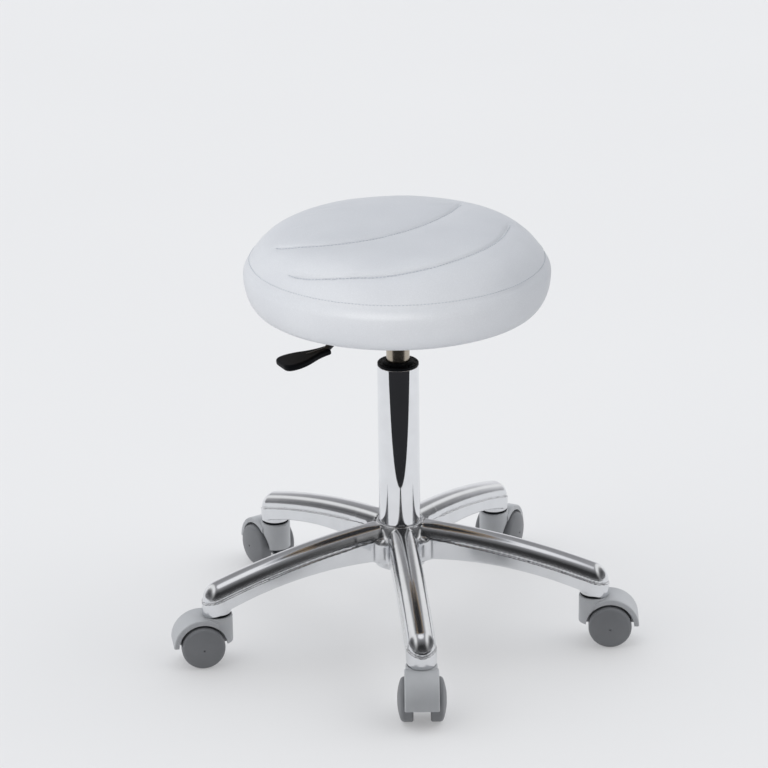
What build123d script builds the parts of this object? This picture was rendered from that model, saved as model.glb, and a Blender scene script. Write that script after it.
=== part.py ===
"""Height-adjustable round stool on a five-arm star base with twin-wheel casters.

Millimetres. The column axis is Z, the floor is z = 0, and one arm of the base points along -Y.
"""
from build123d import *
import os
from math import cos, hypot, radians, sin, sqrt

os.makedirs("parts", exist_ok=True)

# ---------------------------------------------------------------- driving dimensions
ARM_COUNT = 5
FIRST_ARM_DEG = -90.0          # heading of the first arm of the base
STEM_CIRCLE_R = 239.0          # column axis to each caster stem
WHEEL_R = 26.0
TIP_BOTTOM_Z = 63.5            # underside of each arm's tip, where its caster plugs in
SEAT_R = 182.5                 # widest radius of the upholstery
SEAT_RIM_Z = 414.5             # lowest edge of the upholstery, lift fully down
SEAT_CROWN_Z = 512.0
COLUMN_R = 25.0
COLUMN_TOP_Z = 339.5
LIFT_R = 14.0                  # the gas spring's sliding cylinder
LEVER_DEG = 202.0              # heading of the height lever
RUNNING_GAP = 0.05             # radial, on shafts that turn or slide
SEATED_GAP = 0.02              # radial, on pieces that are held fast

# ---------------------------------------------------------------- star base
ARM_HALF_W = 17.5
BEAD_R = 17.0                  # the rounded bead along each arm's top
BEAD_START_R = 52.0
CREASE = ((40.0, 123.5), (150.0, 107.0), (258.0, 77.5))     # radius, height: bead meets wall
UNDERSIDE = ((50.0, 97.5), (150.0, 91.0), (230.0, 69.5))
HUB_BLOCK_R = 67.0             # the arms' plain roots end here and the beads begin
HUB_TOP_Z = 137.5
HUB_WEB_FILLET = 20.0          # in plan, between neighbouring arms
HUB_EDGE_FILLET = 8.0
NECK_R = 27.6
NECK_TOP_Z = 139.5
BOSS_R = 31.0                  # the hub's round boss under the arms
BOSS_BOTTOM_Z = 84.0
TAPER_DROP = 1.4               # how much narrower the column's foot is, in radius
CHANNEL_HALF_W = 13.3          # the arms are cast hollow from below
CHANNEL_ROOF_HALF_W = 9.0
CHANNEL_ROOF = 6.0             # height of the roof channel above the crease
CHANNEL_SHOULDER = 4.0         # depth of the wide channel below the crease
CHANNEL_START_R = 57.0
SLEEVE_BORE_R = 7.5
SLEEVE_BORE_TOP_Z = 88.0

# ---------------------------------------------------------------- casters
TRAIL = 19.0                   # stem axis to wheel axle
HOOD_R = 35.0
HOOD_INNER_R = 29.0
HOOD_HALF_W = 20.0
HOOD_WEB_HALF_W = 8.0
HOOD_TOP_Z = 61.0
HOOD_BOSS_R = 18.5
HOOD_BOSS_BOTTOM_Z = 27.0
HOOD_LIP_Z = 27.0
HOOD_EDGE_FILLET = 2.0
HOOD_WEB_Z = 41.0              # the web between the wheels is full width above this
HOOD_LIMB = 10.0               # below it, only a limb this wide each way reaches the axle
WHEEL_INNER_Y = 10.0
WHEEL_OUTER_Y = 28.5
WHEEL_DOME = 4.5               # how far the outer face bulges past the tread
AXLE_R = 3.0
STEM_R = 5.45
STEM_BOTTOM_Z = 38.0
STEM_TOP_Z = 86.0
SLEEVE_FLANGE_R = 16.8
SLEEVE_FLANGE_H = 1.7
AXLE_BOSS_R = 8.0
WHEEL_RIM_T = 4.5              # thickness of the tread's wall, open towards the hood
WHEEL_HUB_R = 7.0
WHEEL_DISH = 5.0               # how deep the wheel's back is dished
DIMPLE_R = 1.3
CASTER_TURN_DEG = (-5.5, 10.0, 6.0, -8.0, -14.0)      # each caster's turn away from its arm

# ---------------------------------------------------------------- column and gas spring
COLUMN_BOTTOM_Z = 82.0
COLUMN_INNER_R = 21.6
GUIDE_LENGTH = 92.0
GUIDE_FLANGE_R = 24.6
GUIDE_FLANGE_H = 3.6
GUIDE_STEP_R = 18.6
GUIDE_STEP_H = 6.4
FOOT_Z = 86.0
FOOT_H = 4.0
FOOT_HOLE_R = 4.5
ROD_R = 5.0
ROD_STUB_R = 4.0
RACE_R = 14.0
RACE_H = 2.0
BALL_R = 1.6
BALL_COUNT = 11
BALL_CIRCLE_R = 9.5
LIFT_BOTTOM_Z = 107.5
LIFT_TOP_Z = 404.0
LIFT_INNER_R = 12.0
CAVITY_TOP_Z = 366.0
TAPER_START_Z = 370.0
LIFT_TOP_R = 13.2
PIN_R = 3.5
PIN_TOP_Z = 407.5
PISTON_Z = 272.0
PISTON_H = 12.0
PISTON_NECK_R = 3.5            # the rod's end that the piston sits on
CLIP_GROOVE_R = 3.0
CLIP_R = 7.5
BUMPER_R = 11.0
ROD_GUIDE_H = 17.5
CRIMP_H = 2.5                  # the cylinder's lower end, turned in under the guide
CRIMP_R = 6.5
VALVE_BORE_R = 6.0
PIN_HEAD_R = 5.0
PIN_LOW_Z = 379.0
PIN_GUIDE_Z = 388.0            # the pin's close bore starts here

# ---------------------------------------------------------------- seat mechanism
BOARD_Z = 421.5                # underside of the plywood board
BOARD_H = 12.0
BOARD_R = 166.0
STEEL_T = 2.5
PLATE_X = 176.0
PLATE_Y = 206.0
HOLES_X = 150.0
HOLES_Y = 180.0
PAN_X = 96.0
PAN_Y = 84.0
PAN_Z = 388.0
SOCKET_R = 19.0
SOCKET_Z = 373.0
SOCKET_TOP_Z = 402.0
LEVER_Z = 412.5
PIVOT_X = 38.0
PIVOT_R = 2.5
LEVER_ROD_R = 4.0
HANDLE_X = 92.0
HANDLE_END_X = 155.0
HANDLE_T = 8.0
HANDLE_TILT_DEG = 7.0
HANDLE_NECK_Z = 374.0
EAR_Y = 7.0                    # the lever turns between two ears in the pan
PIN_HALF = 10.0
PLATE_HOLE_R = 4.2
SCREW_R = 4.0
SCREW_HEAD_R = 6.5
SCREW_HEAD_H = 4.9
WASHER_R = 8.5
WASHER_H = 1.6
NUT_FLANGE_R = 10.0
NUT_BARREL_R = 4.9

# ---------------------------------------------------------------- upholstery
SKIN_T = 1.4
SEAM_R = 177.0                 # the sewn edge between top panel and side band
SEAM_Z = 474.0
WIDEST_Z = 457.5               # height of the widest line
RIM_R = 158.0                  # radius of the lowest edge
CROWN_POWER = 5.5              # how flat the crown stays before it falls to the seam
HEM_R = 146.0
STAPLE_COUNT = 30


def save(name, shape):
    """Write one sub-part."""
    export_step(shape, f"parts/{name}.step")


def disc(radius, z_low, z_high):
    """An upright cylinder on the Z axis."""
    return Pos(0, 0, z_low) * extrude(Circle(radius), z_high - z_low)


def ring(r_out, r_in, z_low, z_high):
    """An upright round sleeve on the Z axis."""
    return Pos(0, 0, z_low) * extrude(Circle(r_out) - Circle(r_in), z_high - z_low)


def turned(*points):
    """A solid of revolution about Z from a closed outline of (radius, height) points."""
    outline = Plane.XZ * make_face(Polyline(*points, close=True))
    return revolve(outline, Axis.Z)


def cross_rod(radius, x, z, y_low, y_high):
    """A cylinder whose axis is parallel to Y."""
    return Pos(x, y_high, z) * extrude(Plane.XZ * Circle(radius), y_high - y_low)


def block(x_low, x_high, y_low, y_high, z_low, z_high):
    """An axis-aligned block given by its limits."""
    size = (x_high - x_low, y_high - y_low, z_high - z_low)
    middle = ((x_low + x_high) / 2, (y_low + y_high) / 2, (z_low + z_high) / 2)
    return Pos(*middle) * Box(*size)


def height_on(points):
    """The height, as a function of radius, of the circular arch through three points."""
    (x1, z1), (x2, z2), (x3, z3) = points
    d = 2 * (x1 * (z2 - z3) + x2 * (z3 - z1) + x3 * (z1 - z2))
    s1, s2, s3 = x1**2 + z1**2, x2**2 + z2**2, x3**2 + z3**2
    cx = (s1 * (z2 - z3) + s2 * (z3 - z1) + s3 * (z1 - z2)) / d
    cz = (s1 * (x3 - x2) + s2 * (x1 - x3) + s3 * (x2 - x1)) / d
    radius = hypot(x1 - cx, z1 - cz)
    return lambda x: cz + sqrt(radius**2 - (x - cx)**2)


crease_z = height_on(CREASE)
underside_z = height_on(UNDERSIDE)


def arch(height, x_low, x_high, lift=0.0):
    """The stretch of an arch between two radii, as an arc in the side view."""
    x_mid = (x_low + x_high) / 2
    return ThreePointArc(*[(x, height(x) + lift) for x in (x_low, x_mid, x_high)])


def side_slab(curve, z_far, half_width):
    """Everything between an arch and a level line, as wide as given."""
    start, end = curve @ 0, curve @ 1
    rest = Polyline((end.X, end.Y), (end.X, z_far), (start.X, z_far), (start.X, start.Y))
    face = Plane.XZ * make_face(curve + rest)
    return extrude(face, half_width, both=True)


# ---------------------------------------------------------------- star base


def arm_walls():
    """One arm's flat side walls and rounded tip, along +X, up to the crease."""
    reach = STEM_CIRCLE_R + ARM_HALF_W + 1
    strip = Pos(STEM_CIRCLE_R / 2, 0) * Rectangle(STEM_CIRCLE_R, 2 * ARM_HALF_W)
    plan = strip + Pos(STEM_CIRCLE_R, 0) * Circle(ARM_HALF_W)
    walls = extrude(plan, HUB_TOP_Z)
    walls = walls & side_slab(arch(crease_z, 0, reach), 0, 2 * ARM_HALF_W)
    walls = walls & side_slab(arch(underside_z, 0, reach), 2 * HUB_TOP_Z, 2 * ARM_HALF_W)
    boss_top = underside_z(STEM_CIRCLE_R) + ARM_HALF_W / 2
    walls = walls + Pos(STEM_CIRCLE_R, 0, 0) * disc(ARM_HALF_W, TIP_BOTTOM_Z, boss_top)
    return walls & block(0, reach, -ARM_HALF_W, ARM_HALF_W, TIP_BOTTOM_Z, HUB_TOP_Z)


def arm_bead():
    """The rounded bead on one arm, with its ball nose over the tip."""
    path = Plane.XZ * arch(crease_z, BEAD_START_R, STEM_CIRCLE_R)
    tube = sweep(Plane(path @ 0, z_dir=path % 0) * Circle(BEAD_R), path)
    nose = Pos(STEM_CIRCLE_R, 0, crease_z(STEM_CIRCLE_R)) * Sphere(BEAD_R)
    reach = STEM_CIRCLE_R + ARM_HALF_W + 1
    above = side_slab(arch(crease_z, BEAD_START_R - 20, reach), 2 * HUB_TOP_Z, 2 * ARM_HALF_W)
    return (tube + nose) & above


def arm_channel():
    """The hollow under one arm: a wide channel, and a narrower one up into the bead."""
    end = STEM_CIRCLE_R - ARM_HALF_W - 5
    low = side_slab(arch(crease_z, CHANNEL_START_R, end, -CHANNEL_SHOULDER), 0, CHANNEL_HALF_W)
    high = side_slab(arch(crease_z, CHANNEL_START_R, end, CHANNEL_ROOF), 0, CHANNEL_ROOF_HALF_W)
    return low + high


def hub_web():
    """The plan of the web in one valley, just clockwise of +X, with its hollow rounded edge."""
    half_angle = radians(180 / ARM_COUNT)
    centre_r = (ARM_HALF_W + HUB_WEB_FILLET) / sin(half_angle)
    centre = Vector(centre_r, 0)
    touch = Vector(centre_r * cos(half_angle), ARM_HALF_W).rotate(Axis.Z, -180 / ARM_COUNT)
    corners = [(0, 0), (touch.X, touch.Y), (centre.X, centre.Y), (touch.X, -touch.Y)]
    web = make_face(Polyline(*corners, close=True))
    return Rot(0, 0, 180 / ARM_COUNT) * (web - Pos(centre) * Circle(HUB_WEB_FILLET))


def hub_block():
    """The arms' roots with webs between them, in one flat-topped block with a rounded edge."""
    plan = Circle(COLUMN_R)
    root = Pos(HUB_BLOCK_R / 2, 0) * Rectangle(HUB_BLOCK_R, 2 * ARM_HALF_W)
    for i in range(ARM_COUNT):
        plan += Rot(0, 0, i * 360 / ARM_COUNT) * (root + hub_web())
    plan = plan & Circle(HUB_BLOCK_R)
    bottom = underside_z(CREASE[0][0])
    solid = Pos(0, 0, bottom) * extrude(plan, HUB_TOP_Z - bottom)
    return fillet(solid.faces().sort_by(Axis.Z)[-1].edges(), HUB_EDGE_FILLET)


def star_base():
    """The cast five-arm base, bored for the column and for the caster sleeves."""
    arm = arm_walls() + arm_bead()
    solid = hub_block()
    for i in range(ARM_COUNT):
        solid += Rot(0, 0, i * 360 / ARM_COUNT) * arm
    solid += disc(NECK_R, HUB_TOP_Z - 10, NECK_TOP_Z)
    solid += disc(BOSS_R, BOSS_BOTTOM_Z, HUB_TOP_Z - 20)
    cut = arm_channel()
    cut += Pos(STEM_CIRCLE_R, 0, 0) * disc(SLEEVE_BORE_R, TIP_BOTTOM_Z - 1, SLEEVE_BORE_TOP_Z)
    for i in range(ARM_COUNT):
        solid -= Rot(0, 0, i * 360 / ARM_COUNT) * cut
    solid -= column_outside(SEATED_GAP)
    return Rot(0, 0, FIRST_ARM_DEG) * solid


# ---------------------------------------------------------------- column and gas spring


def column_outside(gap=0.0):
    """The column tube's outside, with its tapered foot, grown by a gap."""
    foot_r = COLUMN_R - TAPER_DROP + gap
    top_r = COLUMN_R + gap
    return turned((0, COLUMN_BOTTOM_Z), (foot_r, COLUMN_BOTTOM_Z), (foot_r, BOSS_BOTTOM_Z),
                  (top_r, NECK_TOP_Z - 2), (top_r, COLUMN_TOP_Z), (0, COLUMN_TOP_Z))


def column_tube():
    tube = column_outside() - disc(COLUMN_INNER_R, COLUMN_BOTTOM_Z - 1, COLUMN_TOP_Z + 1)
    rim = tube.edges().group_by(Axis.Z)[-1].sort_by(SortBy.RADIUS)[-1]
    return fillet(rim, 0.8)


def guide_collar():
    """The nylon guide: a long bush in the tube, a flange on its rim and a step around the lift."""
    top = COLUMN_TOP_Z
    bore_r = LIFT_R + RUNNING_GAP
    bush = turned((bore_r, top - GUIDE_LENGTH), (COLUMN_INNER_R - SEATED_GAP, top - GUIDE_LENGTH),
                  (COLUMN_INNER_R - SEATED_GAP, top), (GUIDE_FLANGE_R, top),
                  (GUIDE_FLANGE_R, top + GUIDE_FLANGE_H - 1), (GUIDE_FLANGE_R - 1, top + GUIDE_FLANGE_H),
                  (GUIDE_STEP_R, top + GUIDE_FLANGE_H), (GUIDE_STEP_R - 1, top + GUIDE_STEP_H),
                  (bore_r + 0.6, top + GUIDE_STEP_H), (bore_r, top + GUIDE_STEP_H - 0.6))
    for i in range(12):
        notch = block(20.2, 23.2, -1.1, 1.1, top + GUIDE_FLANGE_H - 1.2, top + GUIDE_FLANGE_H + 1)
        bush -= Rot(0, 0, i * 30) * notch
    return bush


def spring_pieces():
    """The column's foot plate, the thrust bearing, the bumper, the rod, its clip and the piston."""
    race_z = FOOT_Z + FOOT_H
    ball_z = race_z + RACE_H + BALL_R + RUNNING_GAP
    upper_z = ball_z + BALL_R
    shoulder_z = upper_z + RACE_H
    save("column_foot", ring(COLUMN_INNER_R - SEATED_GAP, FOOT_HOLE_R, FOOT_Z, race_z))
    save("bearing_lower_race", ring(RACE_R, FOOT_HOLE_R, race_z, race_z + RACE_H))
    cage = ring(BALL_CIRCLE_R + 2.5, BALL_CIRCLE_R - 2.5, ball_z - 0.5, ball_z + 0.5)
    for i in range(BALL_COUNT):
        cage += Rot(0, 0, i * 360 / BALL_COUNT) * Pos(BALL_CIRCLE_R, 0, ball_z) * Sphere(BALL_R)
    save("bearing_balls", cage)
    save("bearing_upper_race", ring(RACE_R, ROD_STUB_R + SEATED_GAP, upper_z, shoulder_z))
    bumper_top = LIFT_BOTTOM_Z - 0.3
    save("rod_bumper", turned((ROD_R + 0.2, shoulder_z), (BUMPER_R, shoulder_z),
                              (BUMPER_R - 1.5, shoulder_z + 4), (BUMPER_R, bumper_top),
                              (ROD_R + 0.2, bumper_top)))
    clip_low, clip_high = FOOT_Z - 2.2, FOOT_Z - 0.8
    stub_low = FOOT_Z - 3.5
    rod_top = PISTON_Z + PISTON_H + 2
    rod = turned((0, stub_low), (ROD_STUB_R, stub_low), (ROD_STUB_R, clip_low), (CLIP_GROOVE_R, clip_low),
                 (CLIP_GROOVE_R, clip_high), (ROD_STUB_R, clip_high), (ROD_STUB_R, shoulder_z),
                 (ROD_R, shoulder_z), (ROD_R, PISTON_Z), (PISTON_NECK_R, PISTON_Z),
                 (PISTON_NECK_R, rod_top), (0, rod_top))
    save("piston_rod", rod)
    clip = ring(CLIP_R, CLIP_GROOVE_R + SEATED_GAP, clip_low, clip_high)
    save("rod_clip", clip - block(0, CLIP_R + 1, -2.2, 2.2, clip_low, clip_high))
    bore_r = PISTON_NECK_R + SEATED_GAP
    piston = ring(LIFT_INNER_R - 2 * RUNNING_GAP, bore_r, PISTON_Z, PISTON_Z + PISTON_H)
    groove = ring(LIFT_INNER_R + 1, LIFT_INNER_R - 1.8, PISTON_Z + 4.5, PISTON_Z + 7.5)
    save("piston", piston - groove)


def gas_cylinder():
    """The sliding cylinder: crimped over the rod guide below, a tapered valve end above."""
    pin_bore_r = PIN_R + RUNNING_GAP
    crimp_top = LIFT_BOTTOM_Z + CRIMP_H
    return turned((CRIMP_R, LIFT_BOTTOM_Z), (LIFT_R - 1, LIFT_BOTTOM_Z), (LIFT_R, LIFT_BOTTOM_Z + 1),
                  (LIFT_R, TAPER_START_Z), (LIFT_TOP_R, LIFT_TOP_Z - 1), (LIFT_TOP_R - 1, LIFT_TOP_Z),
                  (pin_bore_r, LIFT_TOP_Z), (pin_bore_r, PIN_GUIDE_Z), (VALVE_BORE_R, PIN_GUIDE_Z),
                  (VALVE_BORE_R, CAVITY_TOP_Z), (LIFT_INNER_R, CAVITY_TOP_Z),
                  (LIFT_INNER_R, crimp_top), (CRIMP_R, crimp_top))


def valve_pieces():
    """The guide round the rod, the cylinder, and the headed pin in the cylinder's top."""
    guide_low = LIFT_BOTTOM_Z + CRIMP_H
    save("rod_guide", ring(LIFT_INNER_R - SEATED_GAP, ROD_R + RUNNING_GAP, guide_low, guide_low + ROD_GUIDE_H))
    save("gas_cylinder", gas_cylinder())
    head_top = PIN_LOW_Z + 5
    save("valve_pin", turned((0, PIN_LOW_Z), (PIN_HEAD_R, PIN_LOW_Z), (PIN_HEAD_R, head_top),
                             (PIN_R, head_top), (PIN_R, PIN_TOP_Z - 0.8), (PIN_R - 0.8, PIN_TOP_Z),
                             (0, PIN_TOP_Z)))


# ---------------------------------------------------------------- seat mechanism (lever along +X)


def hole_places():
    return [(sx * HOLES_X / 2, sy * HOLES_Y / 2) for sx in (-1, 1) for sy in (-1, 1)]


def seat_plate():
    """A pressed steel plate with a deep pan, pierced for the socket, the lever and four screws."""
    flange = extrude(RectangleRounded(PLATE_X, PLATE_Y, 18), STEEL_T)
    plate = Pos(0, 0, BOARD_Z - STEEL_T) * flange
    plate += Pos(0, 0, PAN_Z) * extrude(RectangleRounded(PAN_X, PAN_Y, 10), BOARD_Z - PAN_Z)
    inner = RectangleRounded(PAN_X - 2 * STEEL_T, PAN_Y - 2 * STEEL_T, 10 - STEEL_T)
    plate -= Pos(0, 0, PAN_Z + STEEL_T) * extrude(inner, BOARD_Z - PAN_Z)
    half = STEEL_T / 2
    for y in (-EAR_Y, EAR_Y):
        plate += block(PIVOT_X - 7, PIVOT_X + 6, y - half, y + half, PAN_Z + STEEL_T, LEVER_Z + 5.5)
    plate -= cross_rod(PIVOT_R + SEATED_GAP, PIVOT_X, LEVER_Z, -12, 12)
    plate -= disc(SOCKET_R + SEATED_GAP, PAN_Z - 1, PAN_Z + STEEL_T + 1)
    plate -= block(PAN_X / 2 - 6, PAN_X / 2 + 1, -6.5, 6.5, LEVER_Z - 10, LEVER_Z + 6.3)
    for x, y in hole_places():
        plate -= Pos(x, y, 0) * disc(PLATE_HOLE_R, BOARD_Z - STEEL_T - 1, BOARD_Z + 1)
    return plate


def seat_socket():
    """The tapered socket welded in the pan, which the lift's taper end fits."""
    slope = (LIFT_R - LIFT_TOP_R) / (LIFT_TOP_Z - 1 - TAPER_START_Z)
    low_r = LIFT_R - slope * (SOCKET_Z - TAPER_START_Z) + SEATED_GAP
    high_r = LIFT_R - slope * (SOCKET_TOP_Z - TAPER_START_Z) + SEATED_GAP
    return turned((low_r, SOCKET_Z), (SOCKET_R, SOCKET_Z), (SOCKET_R, SOCKET_TOP_Z), (high_r, SOCKET_TOP_Z))


def screw_sets():
    """Four screws, four washers and the four tee nuts that they draw up in the board."""
    washer_z = BOARD_Z - STEEL_T
    head_z = washer_z - WASHER_H
    screw_low = head_z - SCREW_HEAD_H
    screw = disc(SCREW_HEAD_R, screw_low, head_z) + disc(SCREW_R, screw_low, BOARD_Z + 9)
    screw -= Pos(0, 0, screw_low - 0.1) * extrude(RegularPolygon(2.9, 6), 3)
    washer = ring(WASHER_R, PLATE_HOLE_R, head_z, washer_z)
    board_top = BOARD_Z + BOARD_H
    nut = ring(NUT_BARREL_R, SCREW_R + SEATED_GAP, BOARD_Z + 1, board_top)
    nut += ring(NUT_FLANGE_R, SCREW_R + SEATED_GAP, board_top, board_top + 1.4)
    for name, piece in (("plate_screws", screw), ("plate_washers", washer), ("tee_nuts", nut)):
        save(name, Compound(children=[Rot(0, 0, LEVER_DEG) * Pos(x, y, 0) * piece for x, y in hole_places()]))


def lever_rod():
    """The bent steel rod with its pivot hub."""
    bend_x = PAN_X / 2 + 1
    neck = (HANDLE_X + 4, HANDLE_NECK_Z)
    tilt = radians(HANDLE_TILT_DEG)
    end = (neck[0] + 24 * cos(tilt), neck[1] - 24 * sin(tilt))
    path = Plane.XZ * FilletPolyline((-5, LEVER_Z), (bend_x, LEVER_Z), neck, end, radius=8)
    rod = sweep(Plane(path @ 0, z_dir=path % 0) * Circle(LEVER_ROD_R), path)
    rod += cross_rod(6, PIVOT_X, LEVER_Z, -5, 5)
    rod -= cross_rod(PIVOT_R + RUNNING_GAP, PIVOT_X, LEVER_Z, -6, 6)
    return rod


def lever_handle():
    """The moulded paddle: a short neck that opens into a broad blade, fuller on one side."""
    neck, length = 7.5, HANDLE_END_X - HANDLE_X
    near = Spline((0, neck), (24, 13.5), (42, 19.5), (length, 9), tangents=((1, 0), (0, -1)))
    tip = Line((length, 9), (length, -8))
    far = Spline((length, -8), (42, -17.5), (0, -neck), tangents=((0, -1), (-1, 0)))
    root = Line((0, -neck), (0, neck))
    blade = Pos(0, 0, -HANDLE_T / 2) * extrude(make_face(near + tip + far + root), HANDLE_T)
    levels = blade.edges().group_by(Axis.Z)
    blade = fillet(levels[-1] + levels[0], 3)
    return Pos(HANDLE_X, 0, HANDLE_NECK_Z) * Rot(0, HANDLE_TILT_DEG, 0) * blade - lever_rod()


def mechanism():
    """The plate and lever pieces, turned to the lever's heading."""
    turn = Rot(0, 0, LEVER_DEG)
    save("seat_plate", turn * seat_plate())
    save("seat_socket", turn * seat_socket())
    save("lever_pin", turn * cross_rod(PIVOT_R, PIVOT_X, LEVER_Z, -PIN_HALF, PIN_HALF))
    save("lever_rod", turn * lever_rod())
    save("lever_handle", turn * lever_handle())
    screw_sets()


# ---------------------------------------------------------------- upholstery


def seat_outline(inset=0.0):
    """The upholstery's outer outline, crown to rim, as two curves that meet at the seam."""
    seam = (SEAM_R - inset, SEAM_Z - inset)
    rim = (RIM_R - inset, SEAT_RIM_Z + inset)
    dome = SEAT_CROWN_Z - SEAM_Z
    crown = [(r, SEAT_CROWN_Z - inset - dome * (r / SEAM_R) ** CROWN_POWER)
             for r in (0, 60, 95, 125, 146, 163)]
    top = Spline(*crown, seam, tangents=((1, 0), (0.65, -0.76)))
    widest = (SEAT_R - inset, WIDEST_Z)
    lower = (RIM_R + (SEAT_R - RIM_R) * cos(radians(45)) - inset,
             WIDEST_Z - (WIDEST_Z - SEAT_RIM_Z - inset) * sin(radians(45)))
    side = Spline(seam, widest, lower, rim, tangents=((0.5, -0.87), (-1, -0.05)))
    return top, side


def board_and_foam():
    board = disc(BOARD_R, BOARD_Z, BOARD_Z + BOARD_H)
    for x, y in hole_places():
        hole = disc(NUT_BARREL_R + 0.1, BOARD_Z - 1, BOARD_Z + BOARD_H + 1)
        board -= Rot(0, 0, LEVER_DEG) * Pos(x, y, 0) * hole
    save("seat_board", board)
    inset = SKIN_T + 0.3
    top, side = seat_outline(inset)
    foam_low = BOARD_Z + BOARD_H + 1.8
    start = top @ 0
    end = side @ 1
    core_z = BOARD_Z + BOARD_H / 2
    rest = Polyline((end.X, end.Y), (end.X, core_z), (0, core_z), (0, start.Y))
    body = revolve(Plane.XZ * make_face(top + side + rest), Axis.Z)
    foam = body - disc(BOARD_R + 0.5, SEAT_RIM_Z - 5, foam_low)
    save("seat_foam", foam.solids().sort_by(SortBy.VOLUME)[-1])


def cover_pieces():
    """The sewn cover: a top panel, and a side band that turns under the board to a stapled hem."""
    top, side = seat_outline()
    top_in, side_in = seat_outline(SKIN_T)
    a, b = top @ 1, top_in @ 1
    c, d = top_in @ 0, top @ 0
    panel = make_face(top + Line(a, b) + top_in + Line(c, d))
    save("cover_top_panel", revolve(Plane.XZ * panel, Axis.Z))
    hem_low = BOARD_Z - SKIN_T - 0.2
    e, f = side @ 1, side_in @ 1
    edge = Polyline((e.X, e.Y), (HEM_R + 6, hem_low), (HEM_R, hem_low), (HEM_R, hem_low + SKIN_T),
                    (HEM_R + 6, hem_low + SKIN_T), (f.X, f.Y))
    band = make_face(side + edge + side_in + Line(side_in @ 0, side @ 0))
    save("cover_side_band", revolve(Plane.XZ * band, Axis.Z))


def underside_trim():
    """The staples through the hem."""
    staple = block(HEM_R + 1.5, HEM_R + 2.4, -5, 5, BOARD_Z - SKIN_T - 1, BOARD_Z - SKIN_T - 0.3)
    places = [Rot(0, 0, (i + 0.5) * 360 / STAPLE_COUNT) for i in range(STAPLE_COUNT)]
    save("hem_staples", Compound(children=[place * staple for place in places]))


# ---------------------------------------------------------------- casters (trailing along +X)


def caster_hood():
    """The hood: a round boss for the stem, an arch over both wheels and a web between them."""
    boss = disc(HOOD_BOSS_R, HOOD_BOSS_BOTTOM_Z, HOOD_TOP_Z)
    boss = fillet(boss.edges().group_by(Axis.Z)[-1], HOOD_EDGE_FILLET)
    arch_body = cross_rod(HOOD_R, TRAIL, WHEEL_R, -HOOD_HALF_W, HOOD_HALF_W)
    arch_body = fillet(arch_body.edges().filter_by(GeomType.CIRCLE), HOOD_EDGE_FILLET)
    arch_body &= block(0, TRAIL + HOOD_R + 1, -HOOD_HALF_W, HOOD_HALF_W, HOOD_LIP_Z, HOOD_TOP_Z)
    hood = boss + arch_body
    for low, high in ((HOOD_WEB_HALF_W, HOOD_HALF_W + 1), (-HOOD_HALF_W - 1, -HOOD_WEB_HALF_W)):
        hood -= cross_rod(HOOD_INNER_R, TRAIL, WHEEL_R, low, high)
    web = cross_rod(HOOD_INNER_R + 1, TRAIL, WHEEL_R, -HOOD_WEB_HALF_W, HOOD_WEB_HALF_W)
    upper = block(-HOOD_BOSS_R + 8, TRAIL + HOOD_R, -HOOD_HALF_W, HOOD_HALF_W, HOOD_WEB_Z, HOOD_TOP_Z - 3)
    limb = block(TRAIL - HOOD_LIMB, TRAIL + HOOD_LIMB, -HOOD_HALF_W, HOOD_HALF_W,
                 WHEEL_R - AXLE_BOSS_R, HOOD_TOP_Z - 3)
    hood += web & (upper + limb)
    boss_half = WHEEL_INNER_Y - 0.8
    hood += cross_rod(AXLE_BOSS_R, TRAIL, WHEEL_R, -boss_half, boss_half)
    hood -= cross_rod(AXLE_R + SEATED_GAP, TRAIL, WHEEL_R, -HOOD_HALF_W, HOOD_HALF_W)
    hood -= disc(STEM_R + RUNNING_GAP, STEM_BOTTOM_Z - 0.5, HOOD_TOP_Z + 1)
    return hood


def caster_wheel():
    """The left wheel: a treaded disc with a bulging face, a dished back and a dimple."""
    tread_y = WHEEL_OUTER_Y - WHEEL_DOME
    rim_r = WHEEL_R - WHEEL_RIM_T
    dish_y = WHEEL_INNER_Y + WHEEL_DISH
    points = [(AXLE_R + RUNNING_GAP, WHEEL_INNER_Y), (WHEEL_HUB_R, WHEEL_INNER_Y), (WHEEL_HUB_R, dish_y),
              (rim_r, dish_y), (rim_r, WHEEL_INNER_Y), (WHEEL_R - 1.5, WHEEL_INNER_Y),
              (WHEEL_R, WHEEL_INNER_Y + 1.5), (WHEEL_R, tread_y - 4)]
    edge = Polyline(*points)
    shoulder = ThreePointArc((WHEEL_R, tread_y - 4), (WHEEL_R - 0.9, tread_y - 1),
                             (WHEEL_R - 3, tread_y + 0.7))
    face = ThreePointArc((WHEEL_R - 3, tread_y + 0.7), (12, WHEEL_OUTER_Y - 0.9), (DIMPLE_R, WHEEL_OUTER_Y))
    hub = Polyline((DIMPLE_R, WHEEL_OUTER_Y), (DIMPLE_R, WHEEL_OUTER_Y - 1), (0, WHEEL_OUTER_Y - 1),
                   (0, tread_y), (AXLE_R + RUNNING_GAP, tread_y), (AXLE_R + RUNNING_GAP, WHEEL_INNER_Y))
    profile = Plane.XZ * make_face(edge + shoulder + face + hub)
    wheel = revolve(profile, Axis.Z)
    return Pos(TRAIL, 0, WHEEL_R) * Rot(-90, 0, 0) * wheel


def caster_sleeve():
    """The black bush in the arm's tip, with the flange that shows under it."""
    bush = ring(SLEEVE_BORE_R - SEATED_GAP, STEM_R + SEATED_GAP, TIP_BOTTOM_Z, SLEEVE_BORE_TOP_Z - 1)
    return bush + ring(SLEEVE_FLANGE_R, STEM_R + SEATED_GAP, TIP_BOTTOM_Z - SLEEVE_FLANGE_H, TIP_BOTTOM_Z)


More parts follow.
